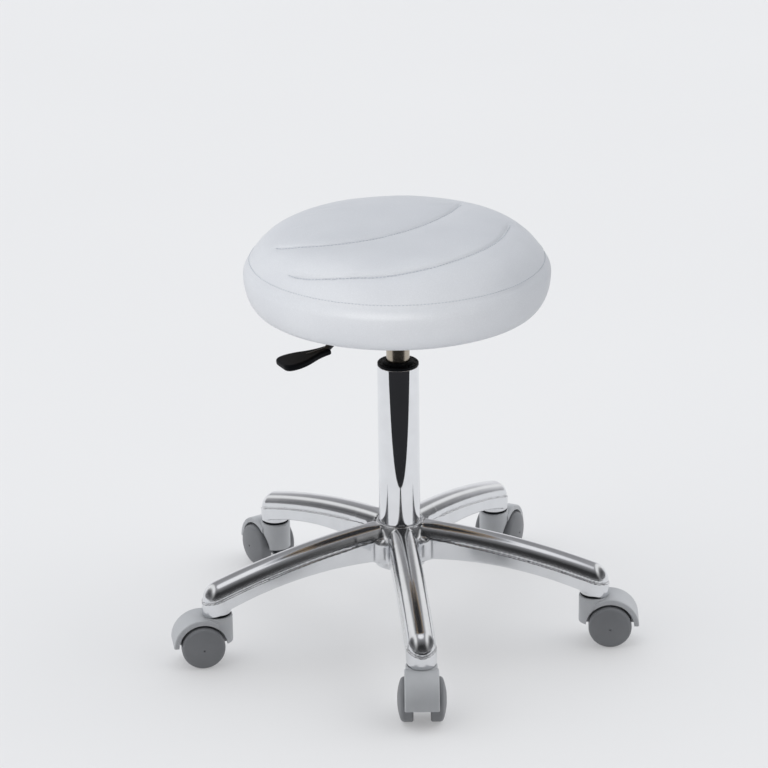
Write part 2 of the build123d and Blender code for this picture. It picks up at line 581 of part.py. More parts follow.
def casters():
    """Five casters, each turned a little from its own arm."""
    axle_half = WHEEL_OUTER_Y - WHEEL_DOME - 0.5
    wheel = caster_wheel()
    pieces = {
        "hood": caster_hood(),
        "axle": cross_rod(AXLE_R, TRAIL, WHEEL_R, -axle_half, axle_half),
        "stem": disc(STEM_R, STEM_BOTTOM_Z, STEM_TOP_Z),
        "sleeve": caster_sleeve(),
        "wheel_left": wheel,
        "wheel_right": mirror(wheel, Plane.XZ),
    }
    for i in range(ARM_COUNT):
        arm_deg = FIRST_ARM_DEG + i * 360 / ARM_COUNT
        place = Rot(0, 0, arm_deg) * Pos(STEM_CIRCLE_R, 0, 0) * Rot(0, 0, CASTER_TURN_DEG[i])
        for name, piece in pieces.items():
            save(f"caster_{i + 1}_{name}", place * piece)


save("star_base", star_base())
save("column_tube", column_tube())
save("guide_collar", guide_collar())
spring_pieces()
valve_pieces()
mechanism()
board_and_foam()
cover_pieces()
underside_trim()
casters()
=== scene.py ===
"""Looks of the dentist stool: upholstery, metals, plastics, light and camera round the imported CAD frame."""
from math import cos, pi, radians, sin

import bpy
import numpy as np
from mathutils import Matrix, Vector
from mathutils.bvhtree import BVHTree
from mathutils.noise import noise


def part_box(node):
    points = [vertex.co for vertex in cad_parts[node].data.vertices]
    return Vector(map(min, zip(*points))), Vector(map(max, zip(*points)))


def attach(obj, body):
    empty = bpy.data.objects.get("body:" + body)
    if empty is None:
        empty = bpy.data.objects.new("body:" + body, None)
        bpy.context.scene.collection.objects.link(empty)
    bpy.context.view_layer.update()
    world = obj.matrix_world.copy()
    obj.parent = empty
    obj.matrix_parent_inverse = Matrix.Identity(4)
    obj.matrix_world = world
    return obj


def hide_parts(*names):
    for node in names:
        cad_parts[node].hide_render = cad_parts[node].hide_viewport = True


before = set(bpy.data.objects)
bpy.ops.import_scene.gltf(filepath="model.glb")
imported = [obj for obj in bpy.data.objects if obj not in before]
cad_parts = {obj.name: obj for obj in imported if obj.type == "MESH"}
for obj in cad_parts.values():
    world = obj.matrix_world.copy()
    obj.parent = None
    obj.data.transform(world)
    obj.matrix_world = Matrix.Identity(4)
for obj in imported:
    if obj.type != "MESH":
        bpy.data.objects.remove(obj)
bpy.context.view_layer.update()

scene = bpy.context.scene
scene.view_settings.view_transform = "Standard"

# ---------------------------------------------------------------- sizes, in metres
SEAM_R = 0.177                 # seat: sewn edge between top panel and side band
SEAM_Z = 0.472
CROWN_RISE = 0.003             # the padded crown stands this much above the CAD's
CROWN_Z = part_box("cover_top_panel")[1][2] + CROWN_RISE
SIDE_LOW, SIDE_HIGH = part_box("cover_side_band")
SEAT_R = SIDE_HIGH[0]
RIM_Z = SIDE_LOW[2]
WIDEST_Z = 0.4575              # height of the widest line
RIM_R = 0.158                  # radius of the lowest edge
CROWN_POWER = 7.0              # how flat the crown stays before it falls to the seam
HEM_R = 0.1465                 # inner edge of the band, under the board
HEM_DROP = 0.0016              # and how far below the board it lies
HEM_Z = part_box("seat_board")[0][2] - HEM_DROP
SKIN_T = 0.0012                # thickness of the two cover pieces
PUFF_START = 0.0016            # the cover starts this much inside its CAD solid, then swells
PUFF_CAP = 0.0042              # the furthest that the swelling may move a point, out
PUFF_SINK = -0.0004            # and in
PUFF_FRAMES = 20
GRID = 96                      # cells across the top panel
SEAM_RINGS = 7                 # rings of the band from the seam to the widest line
ROUND_RINGS = 12               # from there to the lowest edge
HEM_RINGS = 5                  # and on to the hem

# Sewn channels across the top panel, as they are drawn on the pattern (x, y).
CHANNELS = (
    ((-0.150, -0.022), (-0.124, -0.044), (-0.085, -0.055), (-0.035, -0.042), (0.018, -0.008),
     (0.060, 0.036), (0.090, 0.092)),
    ((-0.141, -0.084), (-0.108, -0.115), (-0.064, -0.135), (-0.018, -0.142), (0.030, -0.130),
     (0.076, -0.099), (0.113, -0.052), (0.137, 0.018)),
)
PATH_STEP = 0.001              # spacing of the points along a channel or the seam
EDGE_ROOM = 0.004              # points this near the seam's or the rim's height belong to it
PIN_REACH = 0.004              # how far from a channel the cloth is still held by it
PIN_FULL = 1.3                 # above 1, so that the hold is full for a little way beside it
PIN_FADE = 0.08                # part of a channel's length over which the hold fades out
VALLEY_FADE = 0.07             # and over which its valley does
VALLEY_DEPTH, VALLEY_REACH = 0.0032, 0.009     # the wide valley along a channel
LINE_DEPTH, LINE_REACH = 0.0013, 0.0016        # and the sharp line in it
PUCKER_DEPTH = 0.00022
PUCKER_START, PUCKER_REACH = 0.002, 0.0025     # beside a channel
SEAM_PUCKER_REACH = 0.003
SEAM_LINE_DEPTH, SEAM_LINE_REACH = 0.0003, 0.0018
SEAM_DIP_DEPTH, SEAM_DIP_REACH = 0.0002, 0.005
SLACK_DEPTH, SLACK_SCALE = 0.0006, 16          # broad unevenness of the cover
FINE_SLACK_DEPTH, FINE_SLACK_SCALE = 0.00022, (40, 40, 90)
STITCH_PITCH = 0.0042
THREAD_R = 0.00045
THREAD_HALF = 0.30             # half the length of a stitch that shows, in pitches
THREAD_END = 0.12              # part of the thread's section left where it dives in
THREAD_LIFT, THREAD_DIVE = 0.75, 0.9           # height of its middle, and drop to its ends, in radii
THREAD_SIDES, THREAD_RINGS = 6, 7
THREAD_TRIM = 8                # path points without thread at each end of a channel
CHANNEL_THREAD_GAP = 0.0016    # from a channel's line to its row of stitches
SEAM_THREAD_GAP = 0.0022


# ---------------------------------------------------------------- camera


def place_camera():
    """A long lens, a little above the seat and a little left of the front arm, with a slight roll."""
    distance, azimuth, elevation, roll = 3.6, radians(-5.3), radians(21.0), -0.0125
    target = Vector((-0.0169, 0.0016, 0.3144))
    back = Vector((sin(azimuth) * cos(elevation), -cos(azimuth) * cos(elevation), sin(elevation)))
    right = Vector((cos(azimuth), sin(azimuth), 0))
    up = back.cross(right)
    across = cos(roll) * right + sin(roll) * up
    upright = cos(roll) * up - sin(roll) * right
    data = bpy.data.cameras.new("camera")
    data.sensor_width = 36
    data.lens = 141.7
    data.clip_end = 100
    camera = bpy.data.objects.new("camera", data)
    turn = Matrix((across, upright, back)).transposed()
    camera.matrix_world = Matrix.Translation(target + distance * back) @ turn.to_4x4()
    scene.collection.objects.link(camera)
    scene.camera = camera


# ---------------------------------------------------------------- material helpers


def new_material(name, color, rough, metallic=0.0, **settings):
    """A Principled material with its even values on the shader's own sockets."""
    mat = bpy.data.materials.new(name)
    mat.use_nodes = True
    nodes, links = mat.node_tree.nodes, mat.node_tree.links
    shader = nodes["Principled BSDF"]
    shader.inputs["Base Color"].default_value = (*color, 1)
    shader.inputs["Roughness"].default_value = rough
    shader.inputs["Metallic"].default_value = metallic
    for key, value in settings.items():
        shader.inputs[key.replace("_", " ")].default_value = value
    return mat, nodes, links, shader


def texture(nodes, links, kind, scale, **settings):
    """A procedural texture in object space, in cycles per metre."""
    coords = nodes.get("coords") or nodes.new("ShaderNodeTexCoord")
    coords.name = "coords"
    tex = nodes.new(kind)
    tex.inputs["Scale"].default_value = scale
    for key, value in settings.items():
        tex.inputs[key].default_value = value
    links.new(coords.outputs["Object"], tex.inputs["Vector"])
    return tex


def to_range(nodes, links, source, low, high):
    """source, from 0 to 1, mapped to a range."""
    node = nodes.new("ShaderNodeMapRange")
    node.inputs["To Min"].default_value = low
    node.inputs["To Max"].default_value = high
    links.new(source, node.inputs["Value"])
    return node.outputs["Result"]


def colour_between(nodes, links, source, dark, light):
    """A colour between two, as source goes from 0 to 1."""
    ramp = nodes.new("ShaderNodeValToRGB")
    ramp.color_ramp.elements[0].color = (*dark, 1)
    ramp.color_ramp.elements[1].color = (*light, 1)
    ramp.color_ramp.elements[0].position = 0.3
    ramp.color_ramp.elements[1].position = 0.7
    links.new(source, ramp.inputs["Fac"])
    return ramp.outputs["Color"]


def bump(nodes, links, height, distance, strength, before=None):
    """A normal bent by a height field, on top of another normal if one is given."""
    node = nodes.new("ShaderNodeBump")
    node.inputs["Distance"].default_value = distance
    node.inputs["Strength"].default_value = strength
    links.new(height, node.inputs["Height"])
    if before:
        links.new(before, node.inputs["Normal"])
    return node.outputs["Normal"]


def leatherette():
    """Pale coated fabric: a pebble grain with finer grain on it, uneven in tone and gloss, with painted shade
    in the grain's hollows and painted light on its ridges.
    """
    mat, nodes, links, shader = new_material(
        "leatherette_pale", (0.51, 0.525, 0.555), 0.42, Specular_IOR_Level=0.45,
        Coat_Weight=0.12, Coat_Roughness=0.3, Sheen_Weight=0.05, Sheen_Roughness=0.5)
    pebble = texture(nodes, links, "ShaderNodeTexVoronoi", 950, Randomness=1.0)
    fine = texture(nodes, links, "ShaderNodeTexNoise", 2600, Detail=3.0)
    broad = texture(nodes, links, "ShaderNodeTexNoise", 14, Detail=4.0)
    tint = colour_between(nodes, links, broad.outputs["Fac"],
                          (0.50, 0.515, 0.548), (0.53, 0.545, 0.575))
    # painted shade: the base colour is darker in the pebble grain's hollows and lighter on its ridges, from
    # the same field that drives the bump
    crease = to_range(nodes, links, pebble.outputs["Distance"], 0.93, 1.03)
    mix = nodes.new("ShaderNodeVectorMath")
    mix.operation = "SCALE"
    links.new(tint, mix.inputs[0])
    links.new(crease, mix.inputs["Scale"])
    links.new(mix.outputs["Vector"], shader.inputs["Base Color"])
    rough = to_range(nodes, links, broad.outputs["Fac"], 0.37, 0.50)
    links.new(rough, shader.inputs["Roughness"])
    first = bump(nodes, links, pebble.outputs["Distance"], 0.00022, 0.35)
    links.new(bump(nodes, links, fine.outputs["Fac"], 0.00008, 0.3, first), shader.inputs["Normal"])
    return mat


def thread():
    """Sewing thread with a twist, coloured darker than the leather as painted shade round the stitches, and
    darker in the twist's grooves as painted shade.
    """
    # painted shade: the thread's colours are set darker than the leather's, so that the stitches read as a
    # dotted line of shade
    mat, nodes, links, shader = new_material("thread_pale", (0.40, 0.43, 0.48), 0.6, Sheen_Weight=0.2)
    twist = texture(nodes, links, "ShaderNodeTexWave", 900, Distortion=1.5)
    # painted shade: darker in the twist's grooves and lighter on its ridges, from the same field that drives
    # the bump
    tone = colour_between(nodes, links, twist.outputs["Fac"], (0.34, 0.37, 0.42), (0.44, 0.47, 0.52))
    links.new(tone, shader.inputs["Base Color"])
    links.new(bump(nodes, links, twist.outputs["Fac"], 0.0001, 0.6), shader.inputs["Normal"])
    return mat


def metal(name, color, rough_low, rough_high, ripple, grain):
    """A bare metal: patchy gloss, a slow ripple from polishing, and fine scratches."""
    mat, nodes, links, shader = new_material(name, color, rough_low, 1.0)
    patches = texture(nodes, links, "ShaderNodeTexNoise", 38, Detail=5.0)
    scratches = texture(nodes, links, "ShaderNodeTexNoise", 700, Detail=2.0)
    slow = texture(nodes, links, "ShaderNodeTexNoise", 26, Detail=1.0)
    rough = to_range(nodes, links, patches.outputs["Fac"], rough_low, rough_high)
    links.new(rough, shader.inputs["Roughness"])
    dark = tuple(c * 0.94 for c in color)
    tone = colour_between(nodes, links, patches.outputs["Fac"], dark, color)
    links.new(tone, shader.inputs["Base Color"])
    first = bump(nodes, links, slow.outputs["Fac"], 0.001, ripple)
    links.new(bump(nodes, links, scratches.outputs["Fac"], 0.0001, grain, first), shader.inputs["Normal"])
    return mat


def plastic(name, color, rough, grain_scale=1500, grain=0.25, gloss=0.5):
    """Moulded plastic: spark-eroded grain and slightly uneven gloss and colour."""
    mat, nodes, links, shader = new_material(name, color, rough, Specular_IOR_Level=gloss)
    fine = texture(nodes, links, "ShaderNodeTexNoise", grain_scale, Detail=3.0)
    broad = texture(nodes, links, "ShaderNodeTexNoise", 30, Detail=4.0)
    uneven = to_range(nodes, links, broad.outputs["Fac"], rough - 0.06, rough + 0.08)
    links.new(uneven, shader.inputs["Roughness"])
    dark = tuple(c * 0.93 for c in color)
    light = tuple(min(1, c * 1.05) for c in color)
    tone = colour_between(nodes, links, broad.outputs["Fac"], dark, light)
    links.new(tone, shader.inputs["Base Color"])
    links.new(bump(nodes, links, fine.outputs["Fac"], 0.0001, grain), shader.inputs["Normal"])
    return mat


def plywood():
    """Birch plywood: wavy rings and fibres."""
    mat, nodes, links, shader = new_material("birch_ply", (0.40, 0.29, 0.18), 0.6)
    rings = texture(nodes, links, "ShaderNodeTexWave", 28, Distortion=5.0, Detail=4.0)
    fibre = texture(nodes, links, "ShaderNodeTexNoise", 300, Detail=5.0)
    tone = colour_between(nodes, links, rings.outputs["Fac"], (0.30, 0.21, 0.13), (0.44, 0.33, 0.21))
    links.new(tone, shader.inputs["Base Color"])
    links.new(bump(nodes, links, fibre.outputs["Fac"], 0.0003, 0.4), shader.inputs["Normal"])
    return mat


# ---------------------------------------------------------------- mesh helpers


def mesh_object(name, verts, faces, mat):
    mesh = bpy.data.meshes.new(name)
    mesh.from_pydata([tuple(v) for v in verts], [], faces)
    mesh.validate()
    mesh.materials.append(mat)
    mesh.shade_smooth()
    obj = bpy.data.objects.new(name, mesh)
    scene.collection.objects.link(obj)
    return obj


def apply_modifiers(obj):
    """Bakes the object's modifiers, at the current frame, into a mesh of its own."""
    graph = bpy.context.evaluated_depsgraph_get()
    graph.update()
    baked = bpy.data.meshes.new_from_object(obj.evaluated_get(graph))
    obj.modifiers.clear()
    old = obj.data
    obj.data = baked
    bpy.data.meshes.remove(old)


def points_of(obj):
    co = np.empty(len(obj.data.vertices) * 3)
    obj.data.vertices.foreach_get("co", co)
    return co.reshape(-1, 3)


def set_points(obj, co):
    obj.data.vertices.foreach_set("co", co.ravel())
    obj.data.update()


def normals_of(obj):
    nv = np.empty(len(obj.data.vertices) * 3)
    obj.data.vertices.foreach_get("normal", nv)
    return nv.reshape(-1, 3)


# ---------------------------------------------------------------- upholstery


def crown_height(r):
    """Height of the top panel's drawn surface at a radius."""
    return CROWN_Z - (CROWN_Z - SEAM_Z) * np.minimum(r / SEAM_R, 1.0) ** CROWN_POWER


def side_outline():
    """Points down the side band, from below the seam round to the hem under the board."""
    points = []
    for t in np.linspace(0, 1, SEAM_RINGS + 1)[1:]:
        r = SEAT_R - (SEAT_R - SEAM_R) * (1 - t) ** 2
        points.append((r, SEAM_Z + (WIDEST_Z - SEAM_Z) * t))
    for t in np.linspace(0, pi / 2, ROUND_RINGS + 1)[1:]:
        points.append((RIM_R + (SEAT_R - RIM_R) * cos(t), WIDEST_Z + (RIM_Z - WIDEST_Z) * sin(t)))
    for t in np.linspace(0, 1, HEM_RINGS + 1)[1:]:
        points.append((RIM_R + (HEM_R - RIM_R) * t, RIM_Z + (HEM_Z - RIM_Z) * t ** 0.5))
    return points


def cover_mesh():
    """The whole cover as one skin: a gridded top panel, and rings down to the hem."""
    verts, faces = [], []
    line = np.linspace(-1, 1, GRID + 1)
    for v in line:
        for u in line:
            x, y = SEAM_R * u * (1 - v * v / 2) ** 0.5, SEAM_R * v * (1 - u * u / 2) ** 0.5
            verts.append((x, y, crown_height(np.hypot(x, y))))
    row = GRID + 1
    for j in range(GRID):
        for i in range(GRID):
            k = j * row + i
            faces.append((k, k + 1, k + row + 1, k + row))
    edge = list(range(GRID))
    edge += [j * row + GRID for j in range(GRID)]
    edge += [GRID * row + i for i in range(GRID, 0, -1)]
    edge += [j * row for j in range(GRID, 0, -1)]
    last = edge
    for r, z in side_outline():
        ring = []
        for k in edge:
            x, y = verts[k][0] / SEAM_R, verts[k][1] / SEAM_R
            ring.append(len(verts))
            verts.append((r * x, r * y, z))
        for i, k in enumerate(ring):
            n = (i + 1) % len(ring)
            faces.append((last[i], k, ring[n], last[n]))
        last = ring
    return np.array(verts), faces, edge, last


def smooth_path(points):
    """The points of a curve that goes smoothly through the given ones, evenly spaced."""
    p = np.array(points)
    p = np.vstack([2 * p[0] - p[1], p, 2 * p[-1] - p[-2]])
    dense = []
    for a, b, c, d in zip(p, p[1:], p[2:], p[3:]):
        for t in np.linspace(0, 1, 40, endpoint=False):
            dense.append(0.5 * (2 * b + (c - a) * t + (2 * a - 5 * b + 4 * c - d) * t**2
                                + (3 * b - a - 3 * c + d) * t**3))
    dense.append(p[-2])
    dense = np.array(dense)
    along = np.concatenate([[0], np.cumsum(np.linalg.norm(np.diff(dense, axis=0), axis=1))])
    wanted = np.arange(0, along[-1], PATH_STEP)
    return np.stack([np.interp(wanted, along, dense[:, k]) for k in range(dense.shape[1])], 1)


def distance_to(path, co):
    """Distance in plan from each point to a path, and how far along it (0 to 1) that is."""
    near = np.full(len(co), 1.0)
    where = np.zeros(len(co))
    for i, q in enumerate(path):
        d = np.hypot(co[:, 0] - q[0], co[:, 1] - q[1])
        closer = d < near
        near[closer] = d[closer]
        where[closer] = i / (len(path) - 1)
    return near, where


def swell(obj, pins):
    """Cloth with a little pressure inside, held along its seams; the movement is capped."""
    before, before_normals = points_of(obj), normals_of(obj)
    group = obj.vertex_groups.new(name="seams")
    for weight in (0.25, 0.5, 0.75, 1.0):
        members = np.nonzero((pins > weight - 0.25) & (pins <= weight))[0]
        group.add([int(i) for i in members], weight, "REPLACE")
    modifier = obj.modifiers.new("swell", "CLOTH")
    cloth = modifier.settings
    cloth.quality = 5
    cloth.mass = 0.4
    cloth.tension_stiffness = 18
    cloth.compression_stiffness = 10
    cloth.shear_stiffness = 6
    cloth.bending_stiffness = 1.5
    cloth.vertex_group_mass = "seams"
    cloth.pin_stiffness = 1.0
    cloth.use_pressure = True
    cloth.uniform_pressure_force = 4
    cloth.effector_weights.gravity = 0
    modifier.collision_settings.use_collision = False
    modifier.point_cache.frame_start = 1
    modifier.point_cache.frame_end = PUFF_FRAMES
    for step in range(1, PUFF_FRAMES + 1):
        scene.frame_set(step)
    apply_modifiers(obj)
    scene.frame_set(1)
    after = points_of(obj)
    out = (before_normals * (after - before)).sum(1)
    out = np.clip(out, PUFF_SINK, None)
    set_points(obj, before + before_normals * (PUFF_CAP * np.tanh(out / PUFF_CAP))[:, None])


def upholstery(leather, thread_mat):
    """The top panel, the side band, and the rows of stitches on them."""
    verts, faces, edge, hem = cover_mesh()
    paths = [smooth_path(c) for c in CHANNELS]
    cover = mesh_object("cover_work", verts, faces, leather)
    co = points_of(cover)
    co -= normals_of(cover) * PUFF_START
    set_points(cover, co)
    pins = np.zeros(len(co))
    pins[edge] = 1
    pins[hem] = 1
    pins[co[:, 2] < RIM_Z + EDGE_ROOM] = 1
    on_top = co[:, 2] > SEAM_Z - EDGE_ROOM
    for path in paths:
        near, where = distance_to(path, co)
        fade = np.clip(np.minimum(where, 1 - where) / PIN_FADE, 0, 1)
        held = np.clip(PIN_FULL - near / PIN_REACH, 0, 1) * fade
        pins = np.where(on_top, np.maximum(pins, held), pins)
    swell(cover, pins)
    top_faces = GRID * GRID
    subdivide = cover.modifiers.new("finer", "SUBSURF")
    subdivide.levels = subdivide.render_levels = 1
    apply_modifiers(cover)
    sew(cover, paths)
    top, side = split_cover(cover, top_faces * 4, leather)
    threads = stitches(top, paths, thread_mat)
    return top, side, threads


def sew(cover, paths):
    """Presses the channels and the seam into the skin, with a pucker at each stitch."""
    co, nv = points_of(cover), normals_of(cover)
    push = np.zeros(len(co))
    on_top = co[:, 2] > SEAM_Z + EDGE_ROOM
    for path in paths:
        near, where = distance_to(path, co)
        fade = np.clip(np.minimum(where, 1 - where) / VALLEY_FADE, 0, 1)
        fade = fade * fade * (3 - 2 * fade)
        line = LINE_DEPTH * np.exp(-(near / LINE_REACH) ** 2)
        valley = VALLEY_DEPTH * np.exp(-near / VALLEY_REACH) + line
        stitch = where * (len(path) - 1) * PATH_STEP / STITCH_PITCH
        beside = np.exp(-(near - PUCKER_START).clip(0) / PUCKER_REACH)
        pucker = PUCKER_DEPTH * np.cos(2 * pi * stitch) * beside
        push += np.where(on_top, (valley + pucker) * fade, 0)
    angle = np.arctan2(co[:, 1], co[:, 0])
    radius = np.hypot(co[:, 0], co[:, 1])
    off = np.hypot(radius - SEAM_R, co[:, 2] - SEAM_Z)
    count = round(2 * pi * SEAM_R / STITCH_PITCH)
    pucker = PUCKER_DEPTH * np.cos(count * angle) * np.exp(-off / SEAM_PUCKER_REACH)
    line = SEAM_LINE_DEPTH * np.exp(-(off / SEAM_LINE_REACH) ** 2)
    push += line + SEAM_DIP_DEPTH * np.exp(-off / SEAM_DIP_REACH) + pucker
    slack = np.array([noise(Vector(p) * SLACK_SCALE) for p in co]) * SLACK_DEPTH
    sx, sy, sz = FINE_SLACK_SCALE
    fine = [noise(Vector((p[0] * sx, p[1] * sy, p[2] * sz))) for p in co]
    slack += np.array(fine) * FINE_SLACK_DEPTH
    push += np.where(co[:, 2] > RIM_Z + EDGE_ROOM, slack, 0)
    set_points(cover, co - nv * push[:, None])


def split_cover(cover, top_count, leather):
    """The top panel and the side band, each a thin skin that keeps the joined surface's normals."""
    co, nv = points_of(cover), normals_of(cover)
    made, kept = [], []
    polygons = cover.data.polygons
    for name, chosen in (("cover_top", polygons[:top_count]), ("cover_side", polygons[top_count:])):
        used = {}
        faces = [tuple(used.setdefault(v, len(used)) for v in p.vertices) for p in chosen]
        made.append(mesh_object(name, [co[v] for v in used], faces, leather))
        kept.append(nv[list(used)])
    bpy.data.objects.remove(cover)
    for piece, outer in zip(made, kept):
        thick = piece.modifiers.new("thickness", "SOLIDIFY")
        thick.thickness = SKIN_T
        thick.offset = -1
        apply_modifiers(piece)
        normals = normals_of(piece)
        normals[:len(outer)] = outer
        piece.data.normals_split_custom_set_from_vertices(normals.tolist())
    return made


def thread_run(path, tree, name, mat):
    """Short capsules of thread laid along a path on the surface, one to a stitch."""
    half = STITCH_PITCH * THREAD_HALF
    verts, faces = [], []
    length = (len(path) - 1) * PATH_STEP
    for s in np.arange(STITCH_PITCH, length - STITCH_PITCH, STITCH_PITCH):
        base = len(verts)
        frames = []
        for t in (-half, 0, half):
            k = min(max((s + t) / PATH_STEP, 0), len(path) - 1)
            i = min(int(k), len(path) - 2)
            p = path[i] + (path[i + 1] - path[i]) * (k - i)
            hit, normal, _, _ = tree.find_nearest(Vector(p))
            frames.append((hit, normal))
        for r in range(THREAD_RINGS):
            t = r / (THREAD_RINGS - 1) * 2 - 1
            a, b = (frames[0], frames[1]) if t < 0 else (frames[1], frames[2])
            w = t + 1 if t < 0 else t
            centre = a[0].lerp(b[0], w)
            normal = a[1].lerp(b[1], w).normalized()
            direction = (b[0] - a[0]).normalized()
            across = normal.cross(direction).normalized()
            size = THREAD_R * max(THREAD_END, (1 - t**4)) ** 0.5
            centre = centre + normal * (THREAD_R * (THREAD_LIFT - THREAD_DIVE * t**2))
            for c in range(THREAD_SIDES):
                q = 2 * pi * c / THREAD_SIDES
                verts.append(centre + across * (size * cos(q)) + normal * (size * sin(q)))
        for r in range(THREAD_RINGS - 1):
            low, high = base + r * THREAD_SIDES, base + (r + 1) * THREAD_SIDES
            for c in range(THREAD_SIDES):
                n = (c + 1) % THREAD_SIDES
                faces.append((low + c, low + n, high + n, high + c))
        end = base + (THREAD_RINGS - 1) * THREAD_SIDES
        faces.append(tuple(base + c for c in reversed(range(THREAD_SIDES))))
        faces.append(tuple(end + c for c in range(THREAD_SIDES)))
    return mesh_object(name, verts, faces, mat)


def stitches(top, paths, mat):
    """A row of stitches beside each channel, and one inside the seam."""
    tree = BVHTree.FromObject(top, bpy.context.evaluated_depsgraph_get())
    made = []
    for i, path in enumerate(paths):
        turn = np.gradient(path, axis=0)
        turn /= np.linalg.norm(turn, axis=1)[:, None]
        beside = path - np.stack([-turn[:, 1], turn[:, 0]], 1) * CHANNEL_THREAD_GAP
        lifted = np.column_stack([beside, crown_height(np.hypot(beside[:, 0], beside[:, 1]))])
        row = lifted[THREAD_TRIM:-THREAD_TRIM]
        made.append(thread_run(row, tree, f"channel_stitches_{i + 1}", mat))
    angles = np.arange(0, 2 * pi, PATH_STEP / SEAM_R)
    ring_r = SEAM_R - SEAM_THREAD_GAP
    ring = np.stack([ring_r * np.cos(angles), ring_r * np.sin(angles),
                     np.full(len(angles), crown_height(ring_r))], 1)
    made.append(thread_run(ring, tree, "seam_stitches", mat))
    return made


# ---------------------------------------------------------------- cast base, in millimetres

ARM_COUNT = 5
TIP_R = 239.0                  # column axis to each caster stem
TIP_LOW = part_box("star_base")[0][2] * 1000
NECK_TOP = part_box("star_base")[1][2] * 1000
ARM_HALF = 17.5                # half the width over an arm's side walls
BEAD = 16.7                    # radius of the bead on top of an arm
BEAD_UNDER = 0.5               # how far the bead reaches below the crease
NOSE_DEPTH = 14.0              # and below the crease at a tip
CREASE = ((40.0, 123.5), (150.0, 107.0), (258.0, 77.5))    # (radius, height) along an arm
UNDERSIDE = ((50.0, 97.5), (150.0, 91.0), (230.0, 69.5))
V_DROP = 6.5                   # how far the crease dips at the very front of a tip
V_RUN = 3.0                    # length over which the dip comes in
WALL_EDGE = 1.2                # roundings of the wall, of the tip's boss, and where they meet
BOSS_EDGE = 2.4
BOSS_FILLET = 1.5
BEAD_FILLET = 0.8
GROOVE_R, GROOVE_OUT, GROOVE_RUN = 1.05, 0.4, 10.0         # the crease's own groove
GROOVE_EDGE = 0.9
ARM_START = 30.0               # inside this radius an arm is only its root
ROOT_END = 67.0                # the plain roots end and the beads begin
ROOT_LOW, ROOT_TOP = 98.0, 136.6
ROOT_INSET = 1.3               # a root is this much slimmer than the walls, each side
ROOT_ROUND, ROOT_EDGE, ROOT_FILLET = 15.5, 6.0, 1.5
CHANNEL_HALF, CHANNEL_ROOF_HALF = 13.3, 9.0                # the hollow under an arm
CHANNEL_SHOULDER, CHANNEL_ROOF = 4.0, 6.0                  # its tops, below and above the crease
CHANNEL_START, CHANNEL_WALL = 57.0, 5.0
CHANNEL_EDGE, CHANNEL_TALL = 1.0, 200.0
SLEEVE_R, SLEEVE_TOP = 7.55, 88.0
HUB_LOW = 84.0
CORE_R, CORE_TOP, CORE_EDGE = 40.0, 121.0, 6.0             # between the roots
NECK_R, NECK_EDGE = 27.6, 1.0                              # round the column's foot
HUB_BOSS_R, HUB_BOSS_TOP, HUB_BOSS_EDGE = 31.0, 110.0, 1.5
ROOTS_FILLET, CORE_FILLET, NECK_FILLET, HUB_BOSS_FILLET = 15.0, 10.0, 7.0, 2.0
TOP_EDGE, CHANNEL_RIM, BORE_EDGE = 0.6, 1.0, 0.4
BORE_R, BORE_TAPER, BORE_RUN = 23.66, 1.4, 53.5            # the column's tapered seat
CELL = 1.25                    # grid of the base's surface, before its points are moved onto it
FAR = 5.0                      # distance given to grid points away from the casting
NET_ROOM = 4.3                 # room of the grid round the casting
NET_ROOM_LOW, NET_ROOM_HIGH = 2.6, 2.0
NEAR_ROOM, NEAR_HUB = 4.0, 85.0
SETTLE_STEPS = 8               # moves of the points towards the surface
SETTLE_REACH = 0.6             # longest move, in cells


def circle_through(points):
    """Centre and radius of the arch through three points of a side view."""
    (x1, z1), (x2, z2), (x3, z3) = points
    d = 2 * (x1 * (z2 - z3) + x2 * (z3 - z1) + x3 * (z1 - z2))
    s1, s2, s3 = x1**2 + z1**2, x2**2 + z2**2, x3**2 + z3**2
    cx = (s1 * (z2 - z3) + s2 * (z3 - z1) + s3 * (z1 - z2)) / d
    cz = (s1 * (x3 - x2) + s2 * (x1 - x3) + s3 * (x2 - x1)) / d
    return cx, cz, float(np.hypot(x1 - cx, z1 - cz))


def join(a, b, k):
    """Smooth union of two distances, with a fillet of about k."""
    h = np.clip(0.5 + 0.5 * (b - a) / k, 0, 1)
    return b + (a - b) * h - k * h * (1 - h)


def cut(a, b, k):
    """Smooth intersection."""
    return -join(-a, -b, k)


def slot_box(v, z, half_v, z_low, z_high, radius):
    """A rounded bar along the arm, as a distance in its section."""
    qv = np.abs(v) - (half_v - radius)
    qz = np.abs(z - (z_low + z_high) / 2) - ((z_high - z_low) / 2 - radius)
    return np.hypot(np.maximum(qv, 0), np.maximum(qz, 0)) + np.minimum(np.maximum(qv, qz), 0) - radius


